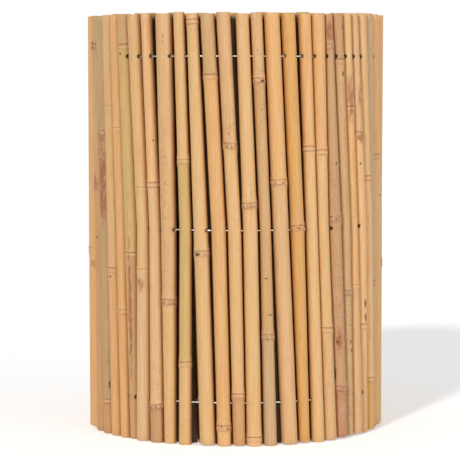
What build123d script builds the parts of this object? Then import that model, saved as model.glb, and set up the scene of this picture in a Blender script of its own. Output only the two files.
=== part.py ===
from build123d import *
from math import asin, cos, degrees, pi, radians, sin
import os
import random

# Bamboo cane screen, rolled up and standing on end.
# Whole canes are cross-drilled at three heights and threaded side by side on three
# galvanised wires. The roll is one long spiral of canes with an open core, and the wires
# are drawn as far as the end of its outer turn.
# Millimetres, Z up. The front of the roll faces -Y, and the origin is the middle of its foot.

# The screen
SCREEN_HEIGHT = 500
WIRE_HEIGHTS = (450, 250, 50)
WIRE_SIZE = 1.8
DRILLED_HOLE = 3.6

# The roll: a spiral whose azimuth runs from the front (0 degrees) towards +X
FRONT_RADIUS = 171.5
TURN_STEP = 18.0
CORE_RADIUS = 90
ROLL_CENTRE = (4.4, -3.9)
FREE_END_AZIMUTH = -176
OUTER_TURN_END = 181
FREE_END_CANES = 6

# Canes of the outer turn: a ring of flats, with a swelling at each knuckle.
# A cane whose middle wire is off the straight line by the crook, in degrees, gets a bend.
CANE_SIDES = 8
KNUCKLE_RISE = 0.8
KNUCKLE_BELOW = 5
KNUCKLE_ABOVE = 4
CROOK = 0.4

# Canes out of view: the range of each size, and the share that has a second knuckle
SEED = 5
REAR_CANE = (14.5, 18.0)
REAR_TAPER = 0.6
REAR_GAP = (1.6, 2.6)
SIDE_GAP = 4.0
FIRST_KNUCKLE = (90, 230)
KNUCKLE_SPACING = (170, 210)
TWO_KNUCKLES = 0.3
REAR_FOOT = (0, 2.5)
REAR_HEAD = (498.0, 500.5)

# Canes of the inner turns
INNER_SIDES = 6
INNER_CANE = (15.8, 17.0)
INNER_GAP = 0.8
INNER_TWIST = 8.0
INNER_HEAD = (498.0, 501.0)
TURN_GAP = 2.6

# The bent wire end past the last cane
WIRE_TAIL = 24
TAIL_LEAD = 7

# The canes seen from the front, from left to right.
# Each row: diameters at the top, middle and low wire; gaps to the next cane at the same
# three wires; heights of the knuckles; how far the foot stands up; how long the head is.
FRONT_START = (-73.7, -70.5, -68.7)
FRONT_CANES = (
    ((17.5, 17.0, 18.0), (2.0, 2.0, 2.0), (463, 296), 0.5, 499.0),
    ((17.5, 17.0, 17.5), (1.5, 1.5, 1.5), (361, 40), 0.5, 498.5),
    ((16.5, 17.5, 17.0), (1.5, 1.5, 1.5), (390, 198), 0.5, 499.0),
    ((15.0, 15.5, 14.5), (1.5, 1.5, 2.0), (365, 150), 0.0, 498.5),
    ((17.0, 18.5, 12.0), (1.5, 1.5, 1.5), (462, 219), 0.5, 499.5),
    ((17.0, 16.5, 18.5), (3.5, 1.5, 1.5), (296, 201), 0.5, 498.5),
    ((13.5, 15.0, 17.0), (7.0, 1.5, 1.5), (302, 43), 0.0, 499.5),
    ((19.5, 18.5, 15.0), (3.5, 5.0, 4.5), (167,), 0.5, 499.0),
    ((13.5, 14.5, 15.0), (2.8, 2.5, 9.0), (330, 95), 0.0, 500.5),
    ((14.5, 17.5, 18.0), (2.9, 3.5, 2.5), (490, 224), 2.0, 499.0),
    ((16.5, 17.0, 16.5), (2.1, 2.0, 2.0), (427, 22), 0.5, 498.5),
    ((16.0, 15.5, 14.5), (5.2, 2.0, 1.5), (348, 59), 1.5, 500.0),
    ((15.5, 17.0, 17.5), (2.0, 2.5, 2.5), (280, 9), 0.5, 498.5),
    ((13.5, 13.0, 15.0), (2.5, 3.0, 6.0), (423, 128), 0.0, 499.5),
    ((17.5, 18.0, 18.0), (2.8, 3.5, 4.0), (306,), 1.5, 499.5),
    ((16.0, 15.5, 12.5), (5.2, 4.5, 5.0), (253,), 2.0, 499.0),
    ((14.5, 13.5, 15.0), (1.5, 1.5, 1.5), (344,), 0.5, 498.5),
    ((16.5, 14.5, 16.5), (1.5, 1.5, 1.5), (340, 132), 1.5, 499.5),
    ((12.5, 18.0, 17.5), (1.5, 1.5, 1.5), (462, 262, 61), 2.5, 499.0),
    ((14.0, 15.0, 12.0), (1.5, 1.5, 1.5), (445, 173), 2.5, 500.0),
    ((13.5, 13.5, 16.0), (1.5, 1.5, 1.5), (390, 179), 3.0, 500.5),
    ((13.5, 17.0, 14.0), (1.5, 1.5, 1.5), (359, 130), 1.5, 500.5),
    ((16.0, 16.0, 17.5), (1.5, 1.5, 1.5), (307, 63), 2.5, 501.0),
    ((15.0, 12.5, 13.0), (1.5, 1.5, 1.5), (179,), 3.0, 501.0),
    ((18.0, 18.0, 17.0), (1.5, 1.5, 1.5), (331,), 3.0, 500.5),
)


def spiral_radius(azimuth):
    """Distance of the cane centres from the roll's middle, smaller by a step each turn."""
    return FRONT_RADIUS - TURN_STEP * azimuth / 360


def spiral_point(azimuth):
    """Plan position on the spiral, with azimuth 0 at the front and +90 towards +X."""
    radius = spiral_radius(azimuth)
    angle = radians(azimuth)
    return Vector(ROLL_CENTRE[0] + radius * sin(angle), ROLL_CENTRE[1] - radius * cos(angle))


def spiral_step(azimuth, spacing):
    """Azimuth of the next cane, whose centre is one spacing further along the spiral."""
    return azimuth + 2 * degrees(asin(spacing / (2 * spiral_radius(azimuth))))


def front_canes():
    """The canes in view, each set beside the last one by diameters and gap at all wires."""
    azimuths = FRONT_START
    placed = []
    for row, following in zip(FRONT_CANES, FRONT_CANES[1:] + FRONT_CANES[:1]):
        diameters, gaps, knuckles, foot, head = row
        placed.append((azimuths, diameters, knuckles, foot, head))
        spacings = [(a + b) / 2 + gap for a, b, gap in zip(diameters, following[0], gaps)]
        azimuths = tuple(spiral_step(a, s) for a, s in zip(azimuths, spacings))
    return placed


def plain_cane(rng):
    """Size, knuckles and ends of a cane out of view, each varied a little."""
    diameter = rng.uniform(*REAR_CANE)
    taper = rng.uniform(-REAR_TAPER, REAR_TAPER)
    first = rng.uniform(*FIRST_KNUCKLE)
    second = first + rng.uniform(*KNUCKLE_SPACING)
    knuckles = (first, second) if rng.random() < TWO_KNUCKLES else (first,)
    diameters = (diameter - taper, diameter, diameter + taper)
    return diameters, knuckles, rng.uniform(*REAR_FOOT), rng.uniform(*REAR_HEAD)


def canes_out_of_view(rng, neighbour, direction, last_azimuth):
    """Walk along the outer turn from a placed cane, one way, with straight canes."""
    placed = []
    gap = SIDE_GAP
    while True:
        sizes = plain_cane(rng)
        top, low = (
            spiral_step(neighbour[0][wire], direction * ((neighbour[1][wire] + sizes[0][wire]) / 2 + gap))
            for wire in (0, 2)
        )
        middle = (top + low) / 2
        if direction * (middle - last_azimuth) > 0:
            return placed
        neighbour = ((top, middle, low),) + sizes
        placed.append(neighbour)
        gap = rng.uniform(*REAR_GAP)


def level_points(azimuths):
    """Cane centre at each wire, as points in space."""
    points = []
    for azimuth, height in zip(azimuths, WIRE_HEIGHTS):
        plan = spiral_point(azimuth)
        points.append(Vector(plan.X, plan.Y, height))
    return points


def between(height, values):
    """Straight-line value at a height from the values at the three wires."""
    top, middle, low = WIRE_HEIGHTS
    if height >= middle:
        share = (height - middle) / (top - middle)
        return values[1] + (values[0] - values[1]) * share
    share = (height - low) / (middle - low)
    return values[2] + (values[1] - values[2]) * share


def cane_ring(azimuths, diameters, facing, height, rise=0.0):
    """One eight-sided section across a cane, with two flats square to the wire."""
    centre = between(height, [Vector(p.X, p.Y, 0) for p in level_points(azimuths)])
    flat = between(height, diameters) / 2 + rise
    corner = flat / cos(pi / CANE_SIDES)
    ring = []
    for k in range(CANE_SIDES):
        angle = facing + 2 * pi * (k + 0.5) / CANE_SIDES
        ring.append(Vector(centre.X + corner * cos(angle), centre.Y + corner * sin(angle), height))
    return ring


def skin(rings):
    """Closed solid through a stack of equal-sided rings, lowest first."""
    sides = len(rings[0])
    faces = [Face(Wire.make_polygon(rings[0][::-1])), Face(Wire.make_polygon(rings[-1]))]
    for low, high in zip(rings, rings[1:]):
        for k in range(sides):
            after = (k + 1) % sides
            faces.append(Face(Wire.make_polygon([low[k], low[after], high[after], high[k]])))
    return Solid(Shell(faces))


def outer_cane(azimuths, diameters, knuckles, foot, head):
    """A cane of the outer turn: crooked at the middle wire, knuckled, and drilled for the wires."""
    facing = radians(azimuths[1])
    stations = [(foot, 0.0), (head, 0.0)]
    for height in knuckles:
        stations += [(height - KNUCKLE_BELOW, 0.0), (height, KNUCKLE_RISE), (height + KNUCKLE_ABOVE, 0.0)]
    if abs((azimuths[0] + azimuths[2]) / 2 - azimuths[1]) > CROOK:
        stations.append((WIRE_HEIGHTS[1], 0.0))
    rings = [cane_ring(azimuths, diameters, facing, height, rise) for height, rise in sorted(stations)]
    cane = skin(rings)
    through = 3 * max(diameters)
    for point, azimuth in zip(level_points(azimuths), azimuths):
        wire_way = (cos(radians(azimuth)), sin(radians(azimuth)), 0)
        drill = Plane(origin=point, x_dir=wire_way, z_dir=(0, 0, 1))
        cane -= drill * Box(through, DRILLED_HOLE, DRILLED_HOLE)
    return cane.solid()


def inner_cane(azimuth, radius, height):
    """A straight six-sided cane of an inner turn, leaning with the twist of the roll."""
    rings = []
    for level, turned in ((0, INNER_TWIST / 2), (height, -INNER_TWIST / 2)):
        centre = spiral_point(azimuth + turned)
        ring = []
        for k in range(INNER_SIDES):
            angle = radians(azimuth) + 2 * pi * k / INNER_SIDES
            ring.append(Vector(centre.X + radius * cos(angle), centre.Y + radius * sin(angle), level))
        rings.append(ring)
    return skin(rings)


def inner_turns(rng, azimuth):
    """The canes inside the outer turn, as one list for each turn down to the open core."""
    turns = []
    radius = rng.uniform(*INNER_CANE) / 2
    while spiral_radius(azimuth) > CORE_RADIUS:
        turn_end = azimuth + 360
        turn = []
        while azimuth < turn_end and spiral_radius(azimuth) > CORE_RADIUS:
            turn.append(inner_cane(azimuth, radius, rng.uniform(*INNER_HEAD)))
            beside = rng.uniform(*INNER_CANE) / 2
            azimuth = spiral_step(azimuth, radius + beside + INNER_GAP)
            radius = beside
        turns.append(turn)
    return turns


def threaded_wire(canes, level):
    """One wire through every cane of the outer turn, bent up past the cane at the free end."""
    points = [level_points(cane[0])[level] for cane in canes]
    out = (points[0] - points[1]).normalized()
    corner = points[0] + out * (canes[0][1][level] / 2 + TAIL_LEAD)
    tail = corner + Vector(0, 0, WIRE_TAIL)
    route = [tail, corner] + points
    across = Plane(origin=tail, z_dir=(0, 0, -1), x_dir=out)
    return sweep(across * Rectangle(WIRE_SIZE, WIRE_SIZE), path=Polyline(*route), transition=Transition.RIGHT)


def write(name, shape):
    """Save a shape under its name."""
    shape.label = name
    export_step(shape, f"parts/{name}.step")


def main():
    """Place the canes, then save every cane and wire."""
    os.makedirs("parts", exist_ok=True)
    rng = random.Random(SEED)
    front = front_canes()
    left = canes_out_of_view(rng, front[0], -1, FREE_END_AZIMUTH)[::-1]
    right = canes_out_of_view(rng, front[-1], 1, OUTER_TURN_END)
    outer = left + front + right

    free_end = [outer_cane(*cane) for cane in left[:FREE_END_CANES]]
    write("free_end_canes", Compound(children=free_end))
    for index, cane in enumerate(front, 1):
        write(f"front_cane_{index:02d}", outer_cane(*cane))
    for index, cane in enumerate(left[FREE_END_CANES:] + right, 1):
        write(f"rear_cane_{index:02d}", outer_cane(*cane))

    for level, name in enumerate(("wire_top", "wire_middle", "wire_low")):
        write(name, threaded_wire(outer, level))

    azimuths, diameters = outer[-1][:2]
    inward = spiral_step(azimuths[1], (diameters[1] + INNER_CANE[1]) / 2 + TURN_GAP)
    for index, turn in enumerate(inner_turns(rng, inward), 2):
        write(f"turn_{index}_canes", Compound(children=turn))
        print("canes in turn", index, "is", len(turn))
    print("canes in the outer turn is", len(outer))


main()
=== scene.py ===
"""Looks of a rolled bamboo cane screen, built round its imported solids.

Every cane is a skin worked out with numpy from the rings of its solid, so it keeps that solid's
place, lean, taper and knuckles. The wires run through the drilled canes along the whole spiral.
"""
import math

import bpy
import numpy as np
from bpy.props import FloatProperty, FloatVectorProperty, IntProperty, PointerProperty
from bpy.types import Operator, Panel, PropertyGroup
from mathutils import Euler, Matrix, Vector


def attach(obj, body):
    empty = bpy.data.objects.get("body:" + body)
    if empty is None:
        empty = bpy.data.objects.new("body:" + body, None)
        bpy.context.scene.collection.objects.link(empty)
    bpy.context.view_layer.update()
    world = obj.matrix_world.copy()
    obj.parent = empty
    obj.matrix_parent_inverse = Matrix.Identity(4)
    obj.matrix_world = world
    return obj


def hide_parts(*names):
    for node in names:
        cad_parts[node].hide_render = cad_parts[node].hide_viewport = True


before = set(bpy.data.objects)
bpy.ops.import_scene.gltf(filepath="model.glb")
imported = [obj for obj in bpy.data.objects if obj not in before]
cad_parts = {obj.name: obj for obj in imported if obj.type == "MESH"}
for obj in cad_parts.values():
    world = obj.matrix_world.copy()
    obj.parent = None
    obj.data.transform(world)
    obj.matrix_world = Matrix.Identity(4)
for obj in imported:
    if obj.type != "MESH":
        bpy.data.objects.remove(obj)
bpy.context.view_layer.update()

bl_info = {
    "name": "Rolled bamboo screen",
    "version": (1, 0, 0),
    "blender": (4, 5, 0),
    "location": "View3D > Sidebar > Bamboo",
    "description": "Dresses the solids of a rolled bamboo cane screen",
    "category": "Object",
}

MM = 0.001

# The spiral that the solids follow: azimuth 0 is the front, and +90 is towards +X
ROLL_CENTRE = (4.4 * MM, -3.9 * MM)
FRONT_RADIUS = 171.5 * MM
TURN_STEP = 18.0 * MM
WIRE_HEIGHTS = {"wire_top": 450 * MM, "wire_middle": 250 * MM, "wire_low": 50 * MM}

# The rings of the solids have eight sides in the outer turn and six inside it. An outer skin is
# as wide as their flats, and an inner one has a share of the reach of their corners
OUTER_SIDES = 8
INNER_SIDES = 6
INNER_SHARE = 0.96

# A knuckle's ring stands out so far from both its neighbours, and the lower one is so near
KNUCKLE_RISE = 0.5 * MM
KNUCKLE_REACH = 8 * MM

# Columns round a cane crowd towards the two sides that the wires pass through
OUTER_COLUMNS = 32
INNER_COLUMNS = 10
CROWDING = 0.3

# A row of a skin nearer than this to the row below is left out
CLOSEST_ROWS = 0.28 * MM

# Radius of a skin at its worn sawn edges, as a share
EDGE_SHARE = 0.965

# A drilled hole in a skin: how far it is turned outwards, in radians, and its radius in mm
SHOWN_HOLE = (0.32, 2.7)
HIDDEN_HOLE = (0.0, 1.9)
HOLE_DEPTH = 3.2 * MM

# The bent tail of a wire: its way past the last cane, the cut of its corner and its height
TAIL_PAST = 6 * MM
TAIL_CORNER = 1.5 * MM
TAIL_HEIGHT = 23 * MM

# Bamboo colours in daylight, by name
TONES = {
    "honey": "E8B578",
    "straw": "E0B67F",
    "yellow": "E3BF78",
    "olive": "D1AC67",
    "drab": "CFA572",
    "peach": "E0B275",
    "apricot": "E2AC6B",
    "amber": "DBA253",
    "tan": "DAAB74",
    "pink_tan": "D4A376",
    "brown_tan": "CDA169",
    "ochre": "CD995F",
    "rust_tan": "C29361",
    "moss": "BF9E68",
    "bark": "B88156",
    "grey_tan": "C8A374",
}
COMMON_TONES = (
    "honey", "straw", "yellow", "olive", "peach", "apricot", "tan", "pink_tan", "drab", "grey_tan",
)

# Colours that the material lays over a cane's tone, with those of its sawn ends and holes
RIND_COLOURS = {
    "dark_fibre": "7A4A20",
    "pale_fibre": "FFF2D8",
    "streak": "C98A4E",
    "mottle": "D9A07C",
    "smudge": "A8744C",
    "band": "DCA88A",
    "rust": "98481F",
    "bump": "F2D2A6",
    "fleck": "684430",
    "spot": "3A241E",
    "line": "7C4630",
    "sawn": "E6C898",
    "fibre_end": "B08A5C",
    # The bore colour is painted shade, laid on more fully further down the hollow
    "bore": "8A6238",
    # The pit colour is painted shade inside the drilled holes
    "pit": "2C1A10",
    # Painted shade on the canes inside the roll, where little light reaches
    "painted_shade": "33281F",
}

# Share of red, green and blue that the painted shade down a cane's sides takes away
SIDE_SHADE_TINT = np.array([0.30, 0.52, 0.66])

# Looks of a knuckle: swelling, upper scar line, lower scar line, pink band, roughness, dark scar
KNUCKLE_KINDS = {
    "faint": (0.55, 0.40, 0.15, 0.25, 0.10, 0.0),
    "line": (0.90, 0.95, 0.25, 0.35, 0.25, 0.0),
    "double": (0.75, 0.85, 0.80, 0.90, 0.15, 0.0),
    "rough": (1.15, 0.70, 0.55, 0.50, 1.00, 0.5),
    "scar": (1.10, 0.75, 0.45, 0.40, 0.60, 1.0),
    "knob": (1.45, 0.35, 0.55, 0.35, 0.35, 0.0),
}
COMMON_KNUCKLES = ("faint", "line", "line", "double", "double", "rough", "scar", "knob")

# The canes in view, from left to right: the tone of each internode and the look of each
# knuckle between them, from the head down
FRONT_LOOKS = (
    (("brown_tan", "brown_tan", "ochre"), ("rough", "knob")),
    (("moss", "moss", "ochre"), ("rough", "double")),
    (("peach", "peach", "apricot"), ("faint", "line")),
    (("apricot", "apricot", "apricot"), ("faint", "knob")),
    (("brown_tan", "olive", "brown_tan"), ("line", "line")),
    (("peach", "peach", "straw"), ("faint", "faint")),
    (("honey", "straw", "rust_tan"), ("double", "rough")),
    (("tan", "peach"), ("rough",)),
    (("peach", "olive", "peach"), ("knob", "line")),
    (("honey", "peach", "peach"), ("double", "scar")),
    (("brown_tan", "apricot", "honey"), ("line", "rough")),
    (("tan", "peach", "ochre"), ("rough", "line")),
    (("peach", "peach", "honey"), ("rough", "line")),
    (("tan", "brown_tan", "grey_tan"), ("scar", "rough")),
    (("apricot", "tan"), ("rough",)),
    (("amber", "amber"), ("rough",)),
    (("apricot", "peach"), ("double",)),
    (("apricot", "peach", "tan"), ("double", "line")),
    (("rust_tan", "rust_tan", "rust_tan", "bark"), ("rough", "rough", "rough")),
    (("rust_tan", "brown_tan", "drab"), ("line", "rough")),
    (("peach", "apricot", "tan"), ("line", "faint")),
    (("tan", "honey", "peach"), ("line", "line")),
    (("peach", "honey", "amber"), ("double", "line")),
    (("grey_tan", "grey_tan"), ("double",)),
    (("apricot", "peach"), ("line",)),
)

# Canes in view with a drilled hole that shows beside its neighbour, for each wire
SHOWN_HOLES = {
    "wire_top": (1, 5, 6, 7, 8, 16, 17, 18, 19, 20, 21, 22, 23, 25),
    "wire_middle": (8, 10, 19, 22),
    "wire_low": (5, 22),
}

# Rear canes turned less than this from the front show at the edge of the view, in one plain tone
SIDE_VIEW = math.radians(100)

# Canes in view with a skin fuller than the solid, which nearly closes their seams: the
# factor at the foot and at the head
FULLER_CANES = {15: (1.05, 1.02), 16: (1.10, 1.03), 17: (1.05, 1.03), 18: (1.03, 1.02)}

# Marks on the canes in view: cane, height in mm, half height in mm, side in degrees from
# straight outwards, half width in degrees, kind
MARKS = (
    (1, 464, 6, 0, 50, "rust"),
    (1, 300, 10, 0, 45, "rust"),
    (1, 234, 1.2, 20, 15, "spot"),
    (2, 312, 50, 10, 60, "rust"),
    (2, 288, 34, 15, 60, "rust"),
    (2, 82, 28, 30, 60, "speckle"),
    (2, 70, 9, 45, 40, "speckle"),
    (2, 59, 6, 62, 9, "spot"),
    (3, 190, 1.4, 15, 15, "spot"),
    (5, 150, 90, 18, 18, "rust"),
    (5, 453, 1.8, 0, 15, "spot"),
    (6, 185, 7, 0, 40, "rust"),
    (7, 353, 1.2, 45, 11, "spot"),
    (7, 70, 20, 0, 60, "speckle"),
    (8, 470, 5, 20, 8, "rust"),
    (8, 250, 120, -10, 42, "speckle"),
    (8, 9, 4, 8, 9, "spot"),
    (10, 476, 6, 0, 60, "speckle"),
    (12, 366, 12, 5, 12, "rust"),
    (12, 380, 18, 0, 70, "speckle"),
    (13, 288, 8, 0, 70, "speckle"),
    (14, 195, 1.4, -10, 15, "spot"),
    (14, 153, 1.2, 20, 15, "spot"),
    (14, 420, 60, 0, 60, "speckle"),
    (16, 264, 15, 10, 60, "band"),
    (19, 478, 12, -20, 40, "rust"),
    (19, 326, 1.6, 0, 15, "spot"),
    (19, 290, 36, 0, 80, "speckle"),
    (19, 140, 90, 0, 80, "speckle"),
    (19, 118, 11, -30, 26, "rust"),
    (19, 116, 3, -42, 12, "spot"),
    # This spot is painted shade of the open gap between canes 18 and 19
    (19, 78, 11, -74, 14, "spot"),
    (19, 60, 12, 0, 70, "speckle"),
    (19, 36, 10, 0, 80, "band"),
    (20, 484, 4, 25, 15, "spot"),
    (20, 430, 3.2, 0, 16, "spot"),
    (20, 360, 70, 10, 60, "speckle"),
    (20, 160, 16, -35, 30, "speckle"),
    (20, 136, 50, 0, 80, "speckle"),
    (20, 114, 2.5, 0, 15, "spot"),
    (20, 104, 2, 12, 15, "spot"),
    (20, 40, 24, 0, 80, "speckle"),
    (20, 40, 2.5, 30, 13, "spot"),
    (20, 26, 3, 32, 13, "spot"),
    (20, 17, 2, 32, 13, "spot"),
    (21, 400, 26, -20, 40, "rust"),
    (21, 280, 60, 0, 60, "speckle"),
    (22, 404, 8, -10, 25, "rust"),
    (22, 355, 6, 0, 60, "rust"),
    (22, 324, 1.8, -30, 15, "spot"),
    (22, 157, 6, -10, 15, "spot"),
    (22, 140, 7, -8, 13, "spot"),
    (25, 284, 1.6, -10, 15, "spot"),
)


def linear(code):
    """sRGB hex digits to linear red, green and blue."""
    channels = np.array([int(code[i : i + 2], 16) for i in (0, 2, 4)]) / 255
    return np.where(channels <= 0.04045, channels / 12.92, ((channels + 0.055) / 1.055) ** 2.4)


def rgba(code):
    """sRGB hex digits to a linear colour with full alpha."""
    return (*linear(code), 1.0)


# Reading the solids


def solids_of(node):
    """The separate solids of a CAD node, each as an array of its distinct corners in metres.

    Corners that share a place are one, and corners joined by edges get the same label, by
    taking the smaller label across every edge until none changes.
    """
    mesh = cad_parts[node].data
    corners = np.empty(len(mesh.vertices) * 3)
    mesh.vertices.foreach_get("co", corners)
    edges = np.empty(len(mesh.edges) * 2, dtype=np.int64)
    mesh.edges.foreach_get("vertices", edges)
    places, same = np.unique(np.round(corners.reshape(-1, 3), 6), axis=0, return_inverse=True)
    ends = same.reshape(-1)[edges].reshape(-1, 2)
    label = np.arange(len(places))
    while True:
        smaller = label.copy()
        least = np.minimum(label[ends[:, 0]], label[ends[:, 1]])
        np.minimum.at(smaller, ends[:, 0], least)
        np.minimum.at(smaller, ends[:, 1], least)
        if np.array_equal(smaller, label):
            break
        label = smaller
    return [places[label == name] for name in np.unique(label)]


class Cane:
    """One cane: its rings from foot to head, read from the corners of its solid.

    It faces an azimuth at the middle wire, and lies along the spiral at that azimuth plus a whole
    turn for each turn of the roll outside it.
    """

    def __init__(self, corners, sides):
        heights = np.round(corners[:, 2], 5)
        levels, counts = np.unique(heights, return_counts=True)
        levels = levels[counts >= sides]
        rings = [farthest(corners[heights == level], sides) for level in levels]
        self.levels = levels
        self.centres = np.array([ring[:, :2].mean(axis=0) for ring in rings])
        reach = [np.linalg.norm(r[:, :2] - c, axis=1).mean() for r, c in zip(rings, self.centres)]
        share = math.cos(math.pi / sides) if sides == OUTER_SIDES else INNER_SHARE
        self.radii = np.array(reach) * share
        self.knuckles = self.find_knuckles()
        self.radii = self.without_knuckles()
        middle = self.centre_at(WIRE_HEIGHTS["wire_middle"])
        east, south = middle[0] - ROLL_CENTRE[0], ROLL_CENTRE[1] - middle[1]
        self.facing = math.atan2(east, south)
        turns = (FRONT_RADIUS - math.hypot(east, south)) / TURN_STEP - self.facing / math.tau
        self.along = self.facing + math.tau * round(turns)

    def find_knuckles(self):
        """Heights of the rings that stand out from both neighbours, with the lower one close."""
        rise = self.radii[1:-1] - np.maximum(self.radii[:-2], self.radii[2:])
        close = np.diff(self.levels)[:-1] < KNUCKLE_REACH
        return self.levels[1:-1][close & (rise > KNUCKLE_RISE)]

    def without_knuckles(self):
        """Radii with each knuckle's ring replaced by the line between its neighbours."""
        plain = ~np.isin(self.levels, self.knuckles)
        return np.interp(self.levels, self.levels[plain], self.radii[plain])

    def centre_at(self, height):
        """Plan position of the cane's middle at a height, on straight lines between rings."""
        return np.array([np.interp(height, self.levels, self.centres[:, k]) for k in (0, 1)])

    def centres_at(self, heights):
        """Plan positions at many heights, one row of X and Y for each."""
        return np.stack([np.interp(heights, self.levels, self.centres[:, k]) for k in (0, 1)], axis=-1)


def farthest(points, count):
    """The so many points farthest from the mean of all, which leaves out those of a hole's edge."""
    reach = np.linalg.norm(points - points.mean(axis=0), axis=1)
    return points[np.argsort(reach)[-count:]]


def read_canes():
    """All canes in their order along the wires, and the canes of each node."""
    by_node = {}
    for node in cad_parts:
        if node.startswith("wire"):
            continue
        sides = INNER_SIDES if node.startswith("turn") else OUTER_SIDES
        by_node[node] = [Cane(corners, sides) for corners in solids_of(node)]
    every = sorted((cane for canes in by_node.values() for cane in canes), key=lambda cane: cane.along)
    for cane, before, after in zip(every, every[:1] + every[:-1], every[1:] + every[-1:]):
        cane.wire_sides = {}
        for height in WIRE_HEIGHTS.values():
            places = [each.centre_at(height) for each in (before, cane, after)]
            cane.wire_sides[height] = wire_angles(*places)
    return every, by_node


def wire_angles(before, here, after):
    """Directions, as angles from +X, in which a wire leaves a cane on its two sides."""
    angles = []
    for other in (before, after):
        way = other - here
        if np.linalg.norm(way) > 0:
            angles.append(math.atan2(way[1], way[0]))
    return angles


# Meshes


def new_piece(name, corners, faces, attributes, smooth, material, node_names):
    """A mesh object from arrays, riding on the one body in place of its CAD nodes."""
    mesh = bpy.data.meshes.new(name)
    mesh.from_pydata(corners, [], faces)
    for label, (kind, values) in attributes.items():
        layer = mesh.attributes.new(label, kind, "POINT")
        field = "color" if kind == "FLOAT_COLOR" else "vector"
        layer.data.foreach_set(field, np.ascontiguousarray(values, dtype=np.float32).ravel())
    mesh.polygons.foreach_set("use_smooth", smooth)
    mesh.materials.append(material)
    mesh.update()
    piece = bpy.data.objects.new(name, mesh)
    bpy.context.scene.collection.objects.link(piece)
    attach(piece, "root")
    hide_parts(*node_names)
    return piece


def closed_grid(rows, columns):
    """Faces of a grid that wraps round its columns and closes to a point at both ends.

    Point 0 is the lower pole, then row by row, and the last point is the upper pole.
    """
    here = np.arange(rows * columns).reshape(rows, columns) + 1
    beside = np.roll(here, -1, axis=1)
    quads = np.stack([here[:-1], beside[:-1], beside[1:], here[1:]], axis=-1).reshape(-1, 4)
    top = rows * columns + 1
    low_fan = np.stack([np.zeros(columns, dtype=int), beside[0], here[0]], axis=-1)
    high_fan = np.stack([np.full(columns, top), here[-1], beside[-1]], axis=-1)
    return quads.tolist() + low_fan.tolist() + high_fan.tolist()


def bell(distance, width):
    """Smooth bump of height 1 that fades over about its width."""
    return np.exp(-((distance / width) ** 2))


def skin_heights(cane, marks, detail):
    """Heights of a cane's rows: even steps, with close rows at knuckles, spots and drilled holes.

    A cane of the inner turns has only the rings of its solid and one more below its head.
    """
    foot, head = cane.levels[0], cane.levels[-1]
    if detail["plain"]:
        return np.unique(np.append(cane.levels, head - 8 * MM))
    rim = 0.4 * MM
    parts = [np.linspace(foot + rim, head - rim, int((head - foot) / (detail["step"] * MM)))]
    for height in cane.knuckles:
        parts.append(height + np.linspace(-13, 13, 9) * MM)
        parts.append(height + np.arange(-6, 6.1, detail["knuckle"]) * MM)
    for height in WIRE_HEIGHTS.values():
        parts.append(height + np.linspace(-3.2, 3.2, 11) * MM)
    for height, half_height, _, _, kind in marks:
        if kind == "spot":
            parts.append((height + np.linspace(-1.6, 1.6, 7) * half_height) * MM)
    heights = np.sort(np.concatenate(parts))
    heights = heights[(heights >= foot + rim) & (heights <= head - rim)]
    keep = np.concatenate([[True], np.diff(heights) > CLOSEST_ROWS])
    return np.concatenate([[foot], heights[keep], [head]])


def cane_columns(cane, count):
    """Angles round a cane: an even angle less a share of the sine of its double.

    The subtraction crowds columns at the two sides where the wires pass.
    """
    even = np.arange(count) / count * math.tau
    return cane.facing + even - CROWDING * np.sin(2 * even)


def away(angle, other):
    """Smallest turn between two angles, without its sign."""
    return np.abs((angle - other + math.pi) % math.tau - math.pi)


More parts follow.
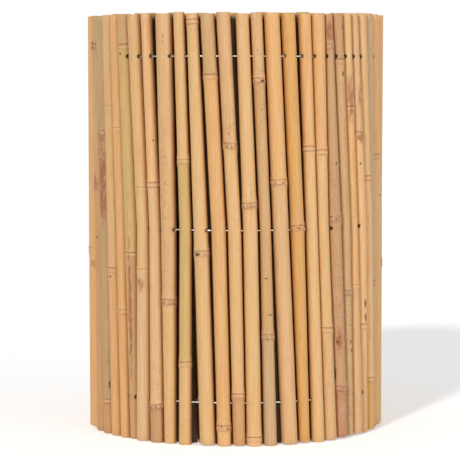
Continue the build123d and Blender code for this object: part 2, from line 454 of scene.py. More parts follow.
def cane_skin(cane, rng, look, marks, shown, detail):
    """One cane as a closed skin: corners, faces and the values that its material reads.

    A corner is the cane's middle at its height plus its radius in the direction of its column.
    The radius is the solid's, times a slow oval wave and two small waves along the cane, plus
    the relief of its knuckles, less a pit where a wire enters, which is painted dark as shade.
    At the heights shown, the pits are turned outwards, so that they can be seen from outside.
    The outward side of a cane inside the roll gets painted shade, fully from 8 mm under its head
    down and a little less in the last 40 mm over the floor, because hardly any light gets there.
    """
    tones, kinds = look
    columns = cane_columns(cane, detail["columns"])
    heights = skin_heights(cane, marks, detail)
    z, angle = heights[:, None], columns[None, :]
    radius = np.interp(heights, cane.levels, cane.radii)[:, None] * np.ones_like(angle)
    turn = rng.uniform(0, math.tau)
    oval = rng.uniform(0.004, 0.014)
    radius = radius * (0.996 + oval * np.cos(2 * (angle - turn) + 3 * z))
    radius = radius * (1 + 0.004 * np.sin(z * 70 + turn) + 0.003 * np.sin(z * 187 + 2 * turn))

    names = ("line", "band", "pit", "rust", "speckle", "spot")
    values = {name: np.zeros_like(radius) for name in names}
    for height, kind in zip(np.sort(cane.knuckles)[::-1], kinds):
        radius = radius + knuckle_relief(z - height, angle, rng, kind, outward(cane), values) * MM
    for height, half_height, side, half_width, kind in marks:
        near = bell(z / MM - height, half_height)
        near = near * bell(away(angle, outward(cane) + math.radians(side)), math.radians(half_width))
        values[kind] = np.maximum(values[kind], near)
    holes = {} if detail["plain"] else cane.wire_sides
    for height, sides in holes.items():
        shift, size = SHOWN_HOLE if height in shown else HIDDEN_HOLE
        for side in sides:
            turned = side + shift * math.sin(outward(cane) - side)
            reach = np.hypot((z - height) / MM, away(angle, turned) * radius / MM)
            values["pit"] = np.maximum(values["pit"], np.clip((size - reach) / 0.7, 0, 1))
    radius = radius - HOLE_DEPTH * values["pit"]

    tone = internode_tones(heights, cane.knuckles, tones)[:, None, :] * rng.uniform(0.97, 1.02)
    # Painted warm shade down the sides where the canes meet, stronger on their right side
    values["tone"] = tone * (1 - painted_side_shade(cane, angle, rng)[:, :, None] * SIDE_SHADE_TINT)
    # Painted shade on the outward side of canes inside the roll, fading out at the head and a little
    # over the floor
    inside = np.minimum(np.clip((heights[-1] - z) / (8 * MM), 0, 1), 0.75 + z / (160 * MM))
    facing_out = np.clip(0.5 + 1.2 * np.cos(angle - outward(cane)), 0.25, 1)
    values["painted_shade"] = detail["painted_shade"] * inside * facing_out
    return join_rows(cane, columns, heights, radius, bore_rows(cane, rng, heights, detail), values)


def knuckle_relief(above, angle, rng, kind, front, values):
    """Height in mm of a knuckle on the skin, at distances above its middle.

    A wide bell is the swelling. On it a narrow bell 3 mm up is the lip under the upper scar line,
    a narrow one below that is taken off as a groove, and one 2.5 mm down is the ridge. Bumps are
    waves round the cane times a bell. A bud scar adds a mound with a pit just under its middle.
    The sum is times the swelling of the kind, and none of it stands out more than 0.78. The scar
    lines, the pale band and the dark bud scar go into the values that the material reads.
    """
    swelling, upper, lower, pink, rough, scar = KNUCKLE_KINDS[kind]
    tilt = rng.uniform(0.1, 0.6)
    side = rng.uniform(0, math.tau)
    above = above / MM + tilt * np.cos(angle - side)
    wave = np.sin(9 * angle + 2 * side + above) * np.sin(2 * angle - 3 * side)
    wave = np.sin(4 * angle + side) + wave + 0.7 * np.sin(13 * angle - side - 1.7 * above)
    uneven = above + 0.35 * rough * wave
    relief = 0.60 * bell(above, 6.0) + 0.38 * bell(uneven - 3.0, 1.0)
    relief = relief - 0.46 * bell(uneven - 1.3, 0.9) + 0.32 * bell(uneven + 2.5, 1.6)
    relief = relief + 0.15 * rough * wave * bell(above, 3.5)

    values["line"] = np.maximum(values["line"], upper * bell(uneven - 2.3, 0.65))
    values["line"] = np.maximum(values["line"], lower * bell(uneven + 3.3, 0.65))
    values["band"] = np.maximum(values["band"], pink * bell(above, 3.4))
    values["speckle"] = np.maximum(values["speckle"], rough * bell(above + 0.5, 5.0))
    values["rust"] = np.maximum(values["rust"], rng.uniform(0.2, 0.55) * rough * bell(above + 1.0, 5.0))
    if scar > 0:
        bud = front + rng.choice((-1, 1)) * rng.uniform(0.1, 0.8)
        near = bell(away(angle, bud), 0.40)
        relief = relief + near * (0.7 * bell(above, 3.0) - 0.9 * bell(above + 1.5, 1.2))
        dark = scar * bell(away(angle, bud), 0.42) * bell(above + 1.2, 2.2)
        values["spot"] = np.maximum(values["spot"], dark)
    return np.minimum(swelling * relief, 0.78)


def painted_side_shade(cane, angle, rng):
    """Share of painted warm shade down the two sides where a cane faces its neighbours.

    It is 0 up to some 50 degrees from straight outwards and goes smoothly to 1 at 85, times a
    strength for each side, more on the right as seen from outside, and goes on round the back.
    """
    turn = away(angle, outward(cane))
    share = np.clip((turn - 0.9) / 0.6, 0, 1)
    right = np.sin(angle - outward(cane)) > 0
    strength = np.where(right, rng.uniform(0.7, 1.0), rng.uniform(0.35, 0.7))
    return share * share * (3 - 2 * share) * strength


def outward(cane):
    """Angle from +X that points straight out of the roll at a cane."""
    return cane.facing - math.pi / 2


def internode_tones(heights, knuckles, tones):
    """Colour of each row: one tone for each internode from the head down, joined over 3 mm."""
    colours = [linear(TONES[name]) for name in tones]
    tone = np.tile(colours[0], (len(heights), 1))
    for height, colour in zip(np.sort(knuckles)[::-1], colours[1:]):
        share = np.clip((height - heights) / (3 * MM) + 0.5, 0, 1)[:, None]
        tone = tone * (1 - share) + colour * share
    return tone


def bore_rows(cane, rng, heights, detail):
    """Rows over the sawn wall and down the bore, for foot and head: share of radius and height."""
    wall = rng.uniform(0.42, 0.54)
    rows = {}
    for end, height, inward in (("foot", heights[0], 1), ("head", heights[-1], -1)):
        reach = [(k - height) * inward for k in cane.knuckles if 6 * MM < (k - height) * inward]
        depth = min(reach + [rng.uniform(14, 45) * MM])
        shares = np.array([0.72, wall + 0.03, wall, wall * 0.97, wall * 0.94, wall * 0.5])
        drops = np.array([0.0, 0.0, 0.4 * MM, 5 * MM, depth, depth + 0.8 * MM])
        if detail["plain"]:
            shares, drops = shares[[1, 4]], drops[[1, 4]]
        rows[end] = (shares, height + inward * drops)
    return rows


def join_rows(cane, columns, heights, radius, bores, values):
    """All rows of a cane, from the foot's diaphragm up the skin to the head's, as mesh arrays.

    The end rows are the skin's last full row times a share, drawn in over the sawn wall and
    then down the bore, and the skin's own first and last rows are drawn in a little as a worn
    edge. A row lies round the cane's middle at its own height.
    """
    foot_shares, foot_heights = bores["foot"]
    head_shares, head_heights = bores["head"]
    foot = radius[1][None, :] * foot_shares[:, None]
    head = radius[-2][None, :] * head_shares[:, None]
    chamfer = np.ones(len(heights))
    chamfer[[0, -1]] = EDGE_SHARE
    all_radius = np.concatenate([foot[::-1], radius * chamfer[:, None], head])
    all_heights = np.concatenate([foot_heights[::-1], heights, head_heights])
    centres = cane.centres_at(all_heights)
    spread = np.stack([np.cos(columns), np.sin(columns)], axis=-1)
    plan = centres[:, None, :] + all_radius[:, :, None] * spread[None, :, :]
    rows, count = all_radius.shape
    level = np.broadcast_to(all_heights[:, None, None], (rows, count, 1))
    corners = np.concatenate([plan, level], axis=-1)
    low = [*centres[0], all_heights[0]]
    high = [*centres[-1], all_heights[-1]]
    corners = np.concatenate([[low], corners.reshape(-1, 3), [high]])

    inside = len(foot)
    skin = slice(inside, rows - inside)

    def whole(field, beyond=0.0):
        """A value of the skin's rows as one for each corner, the same over all the ends."""
        full = np.full((rows, count), beyond)
        full[skin] = field
        return np.concatenate([[beyond], full.ravel(), [beyond]])

    low_tone = values["tone"][:1].repeat(inside, axis=0)
    high_tone = values["tone"][-1:].repeat(inside, axis=0)
    tone = np.concatenate([low_tone, values["tone"], high_tone]).reshape(-1, 3)
    tone = np.concatenate([tone[:1], tone, tone[-1:]])
    # How far down the bore each row lies, from 0 at the sawn wall to 1 at 5 mm, for the painted shade
    # there
    deep = np.zeros((rows, count))
    deep[:inside] = np.clip((foot_heights - heights[0]) / (5 * MM), 0, 1)[::-1, None]
    deep[rows - inside :] = np.clip((heights[-1] - head_heights) / (5 * MM), 0, 1)[:, None]
    deep = np.concatenate([[1], deep.ravel(), [1]])
    fields = {
        "tone": np.concatenate([tone, np.ones((len(tone), 1))], axis=1),
        "knuckle": np.stack([whole(values[name]) for name in ("line", "band", "pit")], axis=-1),
        "stain": np.stack([whole(values[name]) for name in ("rust", "speckle", "spot")], axis=-1),
        # The third value is the painted shade of the canes inside the roll
        "sawn": np.stack([whole(0.0, 1.0), deep, whole(values["painted_shade"])], axis=-1),
    }
    lower_row = np.repeat(np.arange(rows - 1), count)
    on_skin = (lower_row >= inside) & (lower_row < rows - inside - 1)
    on_skin = np.concatenate([on_skin, np.zeros(2 * count, dtype=bool)])
    return corners, closed_grid(rows, count), fields, on_skin


def joined(skins):
    """Several skins as one set of arrays, with the faces of each moved on past the last."""
    corners, faces, fields, start = [], [], {}, 0
    for skin_corners, skin_faces, values, _ in skins:
        corners.append(skin_corners)
        faces += [[index + start for index in face] for face in skin_faces]
        start += len(skin_corners)
        for label, field in values.items():
            fields.setdefault(label, []).append(field)
    fields = {label: np.concatenate(parts) for label, parts in fields.items()}
    return np.concatenate(corners), faces, fields, np.concatenate([skin[3] for skin in skins])


def cane_piece(node, skins, material):
    """A piece of one or more canes that stands for a CAD node of the same name."""
    corners, faces, values, smooth = joined(skins)
    attributes = {"tone": ("FLOAT_COLOR", values["tone"])}
    for label in ("knuckle", "stain", "sawn"):
        attributes[label] = ("FLOAT_VECTOR", values[label])
    return new_piece("skin_" + node, corners, faces, attributes, smooth, material, [node])


def tube(route, radius, sides):
    """A closed round tube along a route of points, as corners and faces.

    Each ring is the route's point plus the radius times the cosine and sine of an even angle,
    on the two directions square to the route there: one level, one upright or outwards. Where
    the route is nearly upright, the level one is that of its first flatter point.
    """
    way = np.gradient(route, axis=0)
    way /= np.linalg.norm(way, axis=1)[:, None]
    flat = np.stack([way[:, 1], -way[:, 0], np.zeros(len(way))], axis=-1)
    length = np.linalg.norm(flat, axis=1)
    flat[length < 0.3] = flat[np.argmax(length >= 0.3)]
    flat /= np.linalg.norm(flat, axis=1)[:, None]
    up = np.cross(flat, way)
    turn = np.arange(sides) / sides * math.tau
    ring = np.cos(turn)[None, :, None] * flat[:, None, :] + np.sin(turn)[None, :, None] * up[:, None, :]
    corners = route[:, None, :] + radius * ring
    corners = np.concatenate([route[:1], corners.reshape(-1, 3), route[-1:]])
    return corners, closed_grid(len(route), sides)


def smooth_route(points, between):
    """Points on a smooth curve through a list of points, so many for each span.

    A span is a cubic of the share along it. Its slope at either end is half the way from the
    point before that end to the point after it.
    """
    padded = np.concatenate([2 * points[:1] - points[1:2], points, 2 * points[-1:] - points[-2:-1]])
    before, here, after, later = padded[:-3], padded[1:-2], padded[2:-1], padded[3:]
    share = (np.arange(between) / between)[None, :, None]
    before, here, after, later = (p[:, None, :] for p in (before, here, after, later))
    curve = 0.5 * (
        2 * here
        + (after - before) * share
        + (2 * before - 5 * here + 4 * after - later) * share**2
        + (3 * here - before - 3 * after + later) * share**3
    )
    return np.concatenate([curve.reshape(-1, 3), points[-1:]])


# Materials


def add_node(tree, kind, inputs=None, **settings):
    """A node with its settings, and its inputs set to values or linked to sockets."""
    node = tree.nodes.new(kind)
    for name, value in settings.items():
        setattr(node, name, value)
    for name, value in (inputs or {}).items():
        if isinstance(value, bpy.types.NodeSocket):
            tree.links.new(value, node.inputs[name])
        else:
            node.inputs[name].default_value = value
    return node


def new_material(name):
    """A node material with nothing but its output, its tree and that output."""
    material = bpy.data.materials.new(name)
    material.use_nodes = True
    tree = material.node_tree
    tree.nodes.clear()
    output = add_node(tree, "ShaderNodeOutputMaterial")
    return material, tree, output


def mixed(tree, share, low, high):
    """Colour socket between two colours by a share."""
    node = add_node(tree, "ShaderNodeMix", data_type="RGBA")
    for index, value in ((0, share), (6, low), (7, high)):
        if isinstance(value, bpy.types.NodeSocket):
            tree.links.new(value, node.inputs[index])
        else:
            node.inputs[index].default_value = value
    return node.outputs[2]


def sums(tree, operation, first, second, clamp=False):
    """Value socket of one arithmetic step."""
    node = add_node(tree, "ShaderNodeMath", {0: first, 1: second}, operation=operation, use_clamp=clamp)
    return node.outputs[0]


def ramped(tree, value, low, high):
    """Value socket that goes smoothly from 0 at low to 1 at high."""
    node = add_node(tree, "ShaderNodeMapRange", {"Value": value, "From Min": low, "From Max": high},
                    interpolation_type="SMOOTHSTEP")
    return node.outputs["Result"]


def bamboo_rind():
    """Dried bamboo cane, scraped and sun bleached: a satin waxy rind over straight fibres.

    Fibres run up the cane about 1 mm apart, with slow mottling over a few centimetres. Knuckles
    carry a dark sheath scar and a paler band, and the sawn ends show pale dotted end grain. Shade
    is painted down the bores, in the drilled pits and on the canes inside the roll, and the tone it
    reads holds painted shade down the sides where canes meet.
    """
    material, tree, output = new_material("bamboo_rind")
    place = add_node(tree, "ShaderNodeTexCoord").outputs["Object"]
    tone = add_node(tree, "ShaderNodeAttribute", attribute_name="tone").outputs["Color"]
    parts = {}
    for name in ("knuckle", "stain", "sawn"):
        field = add_node(tree, "ShaderNodeAttribute", attribute_name=name).outputs["Vector"]
        parts[name] = add_node(tree, "ShaderNodeSeparateXYZ", {"Vector": field}).outputs
    line, band, pit = parts["knuckle"]
    rust, speckle, spot = parts["stain"]
    # The sawn attribute holds the sawn ends, the depth down the bore and the painted shade of canes
    # inside the roll
    end, deep, painted_shade = parts["sawn"]
    paint = {name: rgba(code) for name, code in RIND_COLOURS.items()}

    def noise(across, along, detail=3.0, rough=0.55):
        """Noise with one cycle over so many mm across and along the canes."""
        scale = (1 / (across * MM), 1 / (across * MM), 1 / (along * MM))
        mapping = add_node(tree, "ShaderNodeMapping", {"Vector": place, "Scale": scale})
        field = add_node(tree, "ShaderNodeTexNoise", {"Vector": mapping.outputs[0], "Scale": 1.0,
                                                      "Detail": detail, "Roughness": rough})
        return field.outputs["Fac"]

    fibres = noise(1.1, 60, 4.0)
    streaks = noise(4.5, 170, 3.0)
    mottle = noise(16, 30, 3.0)
    grain = noise(1.6, 3.0, 2.0)

    colour = mixed(tree, ramped(tree, fibres, 0.38, 0.62), mixed(tree, 0.10, tone, paint["dark_fibre"]),
                   mixed(tree, 0.06, tone, paint["pale_fibre"]))
    colour = mixed(tree, sums(tree, "MULTIPLY", ramped(tree, streaks, 0.5, 0.72), 0.30),
                   colour, mixed(tree, 0.5, colour, paint["streak"]))
    colour = mixed(tree, sums(tree, "MULTIPLY", ramped(tree, mottle, 0.50, 0.72), 0.45),
                   colour, mixed(tree, 0.5, colour, paint["mottle"]))
    smudge = ramped(tree, noise(4.0, 11.0, 4.0, 0.65), 0.56, 0.72)
    colour = mixed(tree, sums(tree, "MULTIPLY", smudge, 0.22), colour, paint["smudge"])

    band_share = sums(tree, "MULTIPLY", band, ramped(tree, grain, 0.25, 0.6))
    colour = mixed(tree, sums(tree, "MULTIPLY", band_share, 0.6), colour, paint["band"])
    stained = sums(tree, "ADD", noise(4, 12, 4.0, 0.7), sums(tree, "MULTIPLY", rust, 0.22))
    rust_share = sums(tree, "MULTIPLY", rust, 1.6, clamp=True)
    rust_share = sums(tree, "MULTIPLY", rust_share, ramped(tree, stained, 0.50, 0.66))
    colour = mixed(tree, sums(tree, "MULTIPLY", rust_share, 0.72), colour, paint["rust"])
    bumps = sums(tree, "MULTIPLY", band, rust)
    bumps = sums(tree, "MULTIPLY", bumps, ramped(tree, noise(2.4, 3.2, 2.0), 0.48, 0.62))
    colour = mixed(tree, sums(tree, "MULTIPLY", bumps, 1.6, clamp=True), colour, paint["bump"])
    flecks = ramped(tree, noise(1.7, 2.6, 3.0, 0.7), 0.55, 0.67)
    fleck_share = sums(tree, "MULTIPLY", sums(tree, "ADD", speckle, 0.12), flecks, clamp=True)
    colour = mixed(tree, sums(tree, "MULTIPLY", fleck_share, 0.75), colour, paint["fleck"])
    ragged = sums(tree, "ADD", spot, sums(tree, "MULTIPLY", sums(tree, "SUBTRACT", grain, 0.5), 0.9))
    spot_share = ramped(tree, ragged, 0.32, 0.6)
    spot_share = sums(tree, "MULTIPLY", spot_share, sums(tree, "MULTIPLY", spot, 4, clamp=True))
    colour = mixed(tree, sums(tree, "MULTIPLY", spot_share, 0.85), colour, paint["spot"])
    line_share = sums(tree, "MULTIPLY", line, ramped(tree, grain, 0.2, 0.5))
    colour = mixed(tree, sums(tree, "MULTIPLY", line_share, 0.85), colour, paint["line"])

    fibre_ends = ramped(tree, noise(1.0, 1.0, 1.0), 0.5, 0.62)
    sawn = mixed(tree, sums(tree, "MULTIPLY", fibre_ends, 0.5), paint["sawn"], paint["fibre_end"])
    # Painted shade: the sawn end goes darker down into the bore
    sawn = mixed(tree, deep, sawn, paint["bore"])
    colour = mixed(tree, end, colour, sawn)
    # Drilled pits painted dark as the shade inside them
    colour = mixed(tree, sums(tree, "MULTIPLY", pit, 0.92), colour, paint["pit"])
    # Painted shade over the canes inside the roll
    colour = mixed(tree, sums(tree, "MULTIPLY", painted_shade, 0.93), colour, paint["painted_shade"])

    height = sums(tree, "ADD", sums(tree, "MULTIPLY", fibres, 0.6), sums(tree, "MULTIPLY", grain, band))
    bump = add_node(tree, "ShaderNodeBump", {"Height": height, "Strength": 0.35, "Distance": 0.25 * MM})
    rough = sums(tree, "ADD", 0.40, sums(tree, "MULTIPLY", streaks, 0.2))
    matt = sums(tree, "MULTIPLY", sums(tree, "ADD", end, band, clamp=True), 0.3)
    rough = sums(tree, "ADD", rough, matt)
    shader = add_node(tree, "ShaderNodeBsdfPrincipled", {
        "Base Color": colour, "Roughness": rough, "Normal": bump.outputs[0]})
    tree.links.new(shader.outputs[0], output.inputs["Surface"])
    return material


def galvanised_wire():
    """Drawn steel wire with a hot zinc coat: pale grey metal with dull spangle and fine draw lines."""
    material, tree, output = new_material("galvanised_wire")
    place = add_node(tree, "ShaderNodeTexCoord").outputs["Object"]
    spangle = add_node(tree, "ShaderNodeTexNoise", {
        "Vector": place, "Scale": 1 / (2.5 * MM), "Detail": 3.0})
    dull = ramped(tree, spangle.outputs["Fac"], 0.4, 0.65)
    colour = mixed(tree, dull, rgba("E2E2DE"), rgba("B9BAB8"))
    rough = sums(tree, "ADD", 0.28, sums(tree, "MULTIPLY", dull, 0.25))
    bump = add_node(tree, "ShaderNodeBump", {"Height": spangle.outputs["Fac"], "Strength": 0.2,
                                             "Distance": 0.1 * MM})
    shader = add_node(tree, "ShaderNodeBsdfPrincipled", {
        "Base Color": colour, "Metallic": 0.85, "Roughness": rough, "Normal": bump.outputs[0]})
    tree.links.new(shader.outputs[0], output.inputs["Surface"])
    return material


def seen_directly(tree):
    """Value socket that is 1 for the camera's rays and those of reflections, and 0 for others."""
    path = add_node(tree, "ShaderNodeLightPath").outputs
    seen = sums(tree, "ADD", path["Is Camera Ray"], path["Is Glossy Ray"], clamp=True)
    return sums(tree, "ADD", seen, path["Is Transmission Ray"], clamp=True)


def paper_floor(glow, reach):
    """Matt white studio paper, which keeps the roll's pale shadow.

    To the camera it glows a little, and from a distance off it only glows, so that it meets the
    white background.
    """
    material, tree, output = new_material("studio_paper")
    place = add_node(tree, "ShaderNodeTexCoord").outputs["Object"]
    far = add_node(tree, "ShaderNodeVectorMath", {0: place}, operation="LENGTH").outputs["Value"]
    ray = seen_directly(tree)
    white = sums(tree, "MULTIPLY", ramped(tree, far, reach, 2 * reach), ray)
    shine = mixed(tree, white, (glow, glow, glow, 1), (1, 1, 1, 1))
    paper = add_node(tree, "ShaderNodeBsdfPrincipled", {
        "Base Color": mixed(tree, white, rgba("FAFAFA"), (0, 0, 0, 1)), "Roughness": 1.0,
        "Specular IOR Level": 0.0, "Emission Color": shine, "Emission Strength": ray})
    tree.links.new(paper.outputs[0], output.inputs["Surface"])
    return material


def white_surround(strength):
    """White background to the camera and in reflections, and a softer light on everything else."""
    world = bpy.data.worlds.new("white_surround")
    world.use_nodes = True
    tree = world.node_tree
    tree.nodes.clear()
    output = add_node(tree, "ShaderNodeOutputWorld")
    level = sums(tree, "MULTIPLY", seen_directly(tree), 1 - strength)
    level = sums(tree, "ADD", strength, level)
    light = add_node(tree, "ShaderNodeBackground", {"Color": (1, 1, 1, 1), "Strength": level})
    tree.links.new(light.outputs[0], output.inputs["Surface"])
    bpy.context.scene.world = world


# Settings


class ScreenSettings(PropertyGroup):
    """Sizes of the wires and the seed of the canes out of view."""

    wire_diameter: FloatProperty(
        name="Wire diameter", description="Thickness of the galvanised wires", default=1.7 * MM,
        min=0.5 * MM, max=3 * MM, unit="LENGTH", precision=5)
    seed: IntProperty(
        name="Seed", description="Choice of tones and knuckles on the canes out of view", default=11,
        min=0)


class StudioSettings(PropertyGroup):
    """Camera, lamps and background of the studio."""

    distance: FloatProperty(
        name="Camera distance", description="From the roll's middle to the camera", default=2.554,
        unit="LENGTH")
    camera_height: FloatProperty(
        name="Camera height", description="Height of the camera above the ground", default=0.43,
        unit="LENGTH")
    pitch: FloatProperty(
        name="Camera pitch", description="How far the camera looks down", default=math.radians(4.31),
        subtype="ANGLE")
    lens: FloatProperty(name="Lens", description="Focal length in mm on a 36 mm sensor", default=162.4)
    framing: FloatProperty(
        name="Sideways shift", description="Shift that sets the roll right of the middle",
        default=-0.0120)
    key_strength: FloatProperty(
        name="Key light", description="Strength of the light from the front left", default=1.47)
    fill_power: FloatProperty(
        name="Fill lamp", description="Power of the lamp at the front right", default=30.0)
    surround: FloatProperty(name="Surround", description="Light of the white surround", default=0.43)
    glow: FloatProperty(
        name="Floor glow", description="Light that the floor adds for the camera", default=0.36)
    floor_reach: FloatProperty(
        name="Floor reach", description="Distance over which the floor keeps its shadow", default=1.6,
        unit="LENGTH")
    lamp_colour: FloatVectorProperty(
        name="Lamp colour", description="Colour of both lamps", subtype="COLOR",
        default=(1.0, 0.995, 0.985))


# Operators


# The canes read from the solids: in their order along the wires, and by CAD node
CANES = {}

# Make of a skin: even step between rows and step at a knuckle in mm, whether it is plain, its
# columns, and the strength of the shade painted on it where the turns outside it keep light off
DETAIL_OUTER = {"step": 6.5, "knuckle": 0.7, "plain": False, "columns": OUTER_COLUMNS, "painted_shade": 0.0}
DETAIL_INNER = {"plain": True, "columns": INNER_COLUMNS}

# Marks on the canes out of view: kind, chance, and smallest and largest half height in mm
CHANCE_MARKS = (("rust", 0.25, (8, 40)), ("speckle", 0.3, (20, 60)), ("spot", 0.5, (1.2, 3)))

# Places of the lamps: azimuth, 0 at the camera and + to the right, elevation, and metres away
KEY_PLACE = (math.radians(-24), math.radians(29.8), 4.0)
FILL_PLACE = (math.radians(45), math.radians(7), 3.5)


def cane_seed(cane):
    """A seed that stays with a cane's place along the wires, kept above 0."""
    return bpy.context.scene.bamboo_screen.seed * 1000 + int(round(cane.along * 1000)) + 20000


class BAMBOO_OT_front_canes(Operator):
    """Make the canes in view, with the tones and marks that each one has"""

    bl_idname = "bamboo.front_canes"
    bl_label = "Canes in front"

    def execute(self, context):
        material = bpy.data.materials["bamboo_rind"]
        for number, look in enumerate(FRONT_LOOKS, 1):
            node = f"front_cane_{number:02d}"
            marks = [mark[1:] for mark in MARKS if mark[0] == number]
            cane = CANES["nodes"][node][0]
            ends = (cane.levels[0], cane.levels[-1])
            cane.radii = cane.radii * np.interp(cane.levels, ends, FULLER_CANES.get(number, (1, 1)))
            rng = np.random.default_rng(cane_seed(cane))
            shown = [WIRE_HEIGHTS[wire] for wire, numbers in SHOWN_HOLES.items() if number in numbers]
            cane_piece(node, [cane_skin(cane, rng, look, marks, shown, DETAIL_OUTER)], material)
        return {"FINISHED"}


class BAMBOO_OT_rear_canes(Operator):
    """Make the rest of the outer turn, with the free end of the screen"""

    bl_idname = "bamboo.rear_canes"
    bl_label = "Canes at the sides and back"

    def execute(self, context):
        material = bpy.data.materials["bamboo_rind"]
        nodes = [n for n in CANES["nodes"] if n.startswith("rear_cane") or n == "free_end_canes"]
        for node in sorted(nodes):
            skins = []
            for cane in CANES["nodes"][node]:
                rng = np.random.default_rng(cane_seed(cane))
                look, marks = chance_look(rng, len(cane.knuckles)), chance_marks(rng)
                if abs(cane.facing) < SIDE_VIEW:
                    look, marks = (["apricot"] * (len(cane.knuckles) + 1), look[1]), []
                shown = [height for height in WIRE_HEIGHTS.values() if rng.random() < 0.4]
                skins.append(cane_skin(cane, rng, look, marks, shown, DETAIL_OUTER))
            cane_piece(node, skins, material)
        return {"FINISHED"}


def chance_look(rng, knuckles):
    """Tones and kinds of knuckle for a cane out of view, often with one tone all along."""
    tones = list(rng.choice(COMMON_TONES, size=knuckles + 1))
    if rng.random() < 0.5:
        tones = tones[:1] * (knuckles + 1)
    return tones, list(rng.choice(COMMON_KNUCKLES, size=knuckles))


def chance_marks(rng):
    """A few marks for a cane out of view: mostly none, sometimes a stain, speckles or a spot."""
    marks = []
    for kind, chance, size in CHANCE_MARKS:
        if rng.random() < chance:
            width = 9 if kind == "spot" else 60
            marks.append((rng.uniform(20, 480), rng.uniform(*size), rng.uniform(-50, 50), width, kind))
    return marks


class BAMBOO_OT_inner_canes(Operator):
    """Make the canes of the inner turns, with their sawn and bored ends"""

    bl_idname = "bamboo.inner_canes"
    bl_label = "Canes of the inner turns"

    def execute(self, context):
        material = bpy.data.materials["bamboo_rind"]
        for node in sorted(n for n in CANES["nodes"] if n.startswith("turn")):
            skins = []
            for cane in CANES["nodes"][node]:
                rng = np.random.default_rng(cane_seed(cane))
                cane.knuckles = np.array([])
                # Painted shade: full on the second turn, which shows through the gaps, and less on the
                # turns further in
                detail = DETAIL_INNER | {"painted_shade": 1.0 if node.startswith("turn_2") else 0.4}
                skins.append(cane_skin(cane, rng, chance_look(rng, 0), [], (), detail))
            cane_piece(node, skins, material)
        return {"FINISHED"}


class BAMBOO_OT_wires(Operator):
    """Make the three wires, from the bent tail at the free end through every cane to the core"""

    bl_idname = "bamboo.wires"
    bl_label = "Wires"

    def execute(self, context):
        material = bpy.data.materials["galvanised_wire"]
        radius = context.scene.bamboo_screen.wire_diameter / 2
        for node, height in WIRE_HEIGHTS.items():
            threaded = [[*cane.centre_at(height), height] for cane in CANES["order"]]
            threaded = smooth_route(np.array(threaded), 3)
            out = threaded[0] - threaded[1]
            out /= np.linalg.norm(out)
            reach = CANES["order"][0].radii.mean()
            corner = threaded[0] + out * (reach + TAIL_PAST)
            upright = [corner + [0, 0, rise] for rise in (TAIL_HEIGHT, 8 * MM, TAIL_CORNER)]
            tail = upright + [corner - out * TAIL_CORNER, corner - out * TAIL_PAST]
            corners, faces = tube(np.concatenate([tail, threaded]), radius, 8)
            if node == "wire_low":
                more, more_faces = tube(loose_end(), 0.25 * MM, 6)
                faces = faces + [[index + len(corners) for index in face] for face in more_faces]
                corners = np.concatenate([corners, more])
            smooth = np.ones(len(faces), dtype=bool)
            new_piece("thread_" + node, corners, faces, {}, smooth, material, [node])
        return {"FINISHED"}


def loose_end():
    """Route of a thin hair of wire that stands up between two canes in front, over the low wire."""
    left = CANES["nodes"]["front_cane_09"][0].centre_at(50 * MM)
    right = CANES["nodes"]["front_cane_10"][0].centre_at(50 * MM)
    rise = np.linspace(0, 1, 9)
    across = left + (right - left) * (0.50 + 0.20 * rise + 0.04 * np.sin(rise * 5))[:, None]
    out = 3.5 * MM * np.sin(rise * 2)
    return np.stack([across[:, 0], across[:, 1] - out, (50.5 + 9.5 * rise) * MM], axis=-1)


class BAMBOO_OT_studio(Operator):
    """Set the floor, the white surround, the lamps and the camera"""

    bl_idname = "bamboo.studio"
    bl_label = "Studio"

    def execute(self, context):
        studio = context.scene.bamboo_studio
        half = 30.0
        corners = [(-half, -half, 0), (half, -half, 0), (half, half, 0), (-half, half, 0)]
        mesh = bpy.data.meshes.new("floor")
        mesh.from_pydata(corners, [], [(0, 1, 2, 3)])
        mesh.materials.append(paper_floor(studio.glow, studio.floor_reach))
        floor = bpy.data.objects.new("floor", mesh)
        context.scene.collection.objects.link(floor)
        white_surround(studio.surround)

        key = add_lamp("key", "SUN", studio.key_strength, studio.lamp_colour, KEY_PLACE)
        key.angle = math.radians(5)
        fill = add_lamp("fill", "AREA", studio.fill_power, studio.lamp_colour, FILL_PLACE)
        fill.shape = "RECTANGLE"
        fill.size = 2.2
        fill.size_y = 0.9

        camera = bpy.data.cameras.new("camera")
        camera.sensor_width = 36.0
        camera.lens = studio.lens
        camera.shift_x = studio.framing
        eye = bpy.data.objects.new("camera", camera)
        eye.location = (0.0, -studio.distance, studio.camera_height)
        eye.rotation_euler = Euler((math.pi / 2 - studio.pitch, 0.0, 0.0))
        context.scene.collection.objects.link(eye)
        context.scene.camera = eye

        context.scene.view_settings.view_transform = "Standard"
        return {"FINISHED"}


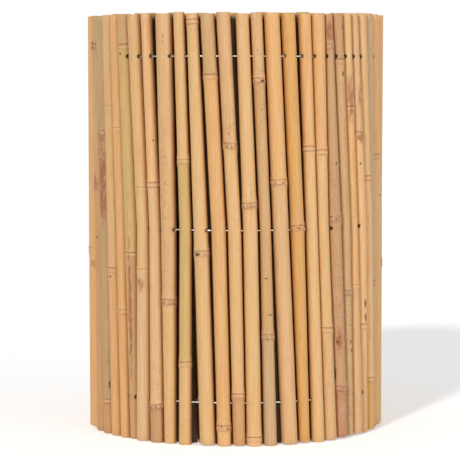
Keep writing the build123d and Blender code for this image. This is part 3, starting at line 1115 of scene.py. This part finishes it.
def add_lamp(name, kind, strength, colour, place):
    """A lamp at an azimuth, elevation and distance, aimed at the roll's middle."""
    azimuth, elevation, distance = place
    lamp = bpy.data.lights.new(name, kind)
    lamp.energy = strength
    lamp.color = colour
    target = Vector((0, 0, 0.25))
    way = Vector((math.sin(azimuth) * math.cos(elevation), -math.cos(azimuth) * math.cos(elevation),
                  math.sin(elevation)))
    stand = bpy.data.objects.new(name, lamp)
    stand.location = target + way * distance
    stand.rotation_euler = (-way).to_track_quat("-Z", "Y").to_euler()
    bpy.context.scene.collection.objects.link(stand)
    return lamp


class BAMBOO_PT_panel(Panel):
    """Buttons and sizes of the bamboo screen"""

    bl_idname = "BAMBOO_PT_panel"
    bl_label = "Bamboo screen"
    bl_space_type = "VIEW_3D"
    bl_region_type = "UI"
    bl_category = "Bamboo"

    def draw(self, context):
        layout = self.layout
        for settings in (context.scene.bamboo_screen, context.scene.bamboo_studio):
            for name in settings.__annotations__:
                layout.prop(settings, name)
        for operator in OPERATORS:
            layout.operator(operator.bl_idname)


OPERATORS = (
    BAMBOO_OT_front_canes,
    BAMBOO_OT_rear_canes,
    BAMBOO_OT_inner_canes,
    BAMBOO_OT_wires,
    BAMBOO_OT_studio,
)
CLASSES = (ScreenSettings, StudioSettings) + OPERATORS + (BAMBOO_PT_panel,)


def register():
    for item in CLASSES:
        bpy.utils.register_class(item)
    bpy.types.Scene.bamboo_screen = PointerProperty(type=ScreenSettings)
    bpy.types.Scene.bamboo_studio = PointerProperty(type=StudioSettings)


def unregister():
    del bpy.types.Scene.bamboo_studio
    del bpy.types.Scene.bamboo_screen
    for item in reversed(CLASSES):
        bpy.utils.unregister_class(item)


def main():
    register()
    CANES["order"], CANES["nodes"] = read_canes()
    bamboo_rind()
    galvanised_wire()
    bpy.ops.bamboo.front_canes()
    bpy.ops.bamboo.rear_canes()
    bpy.ops.bamboo.inner_canes()
    bpy.ops.bamboo.wires()
    bpy.ops.bamboo.studio()


if __name__ == "__main__":
    main()
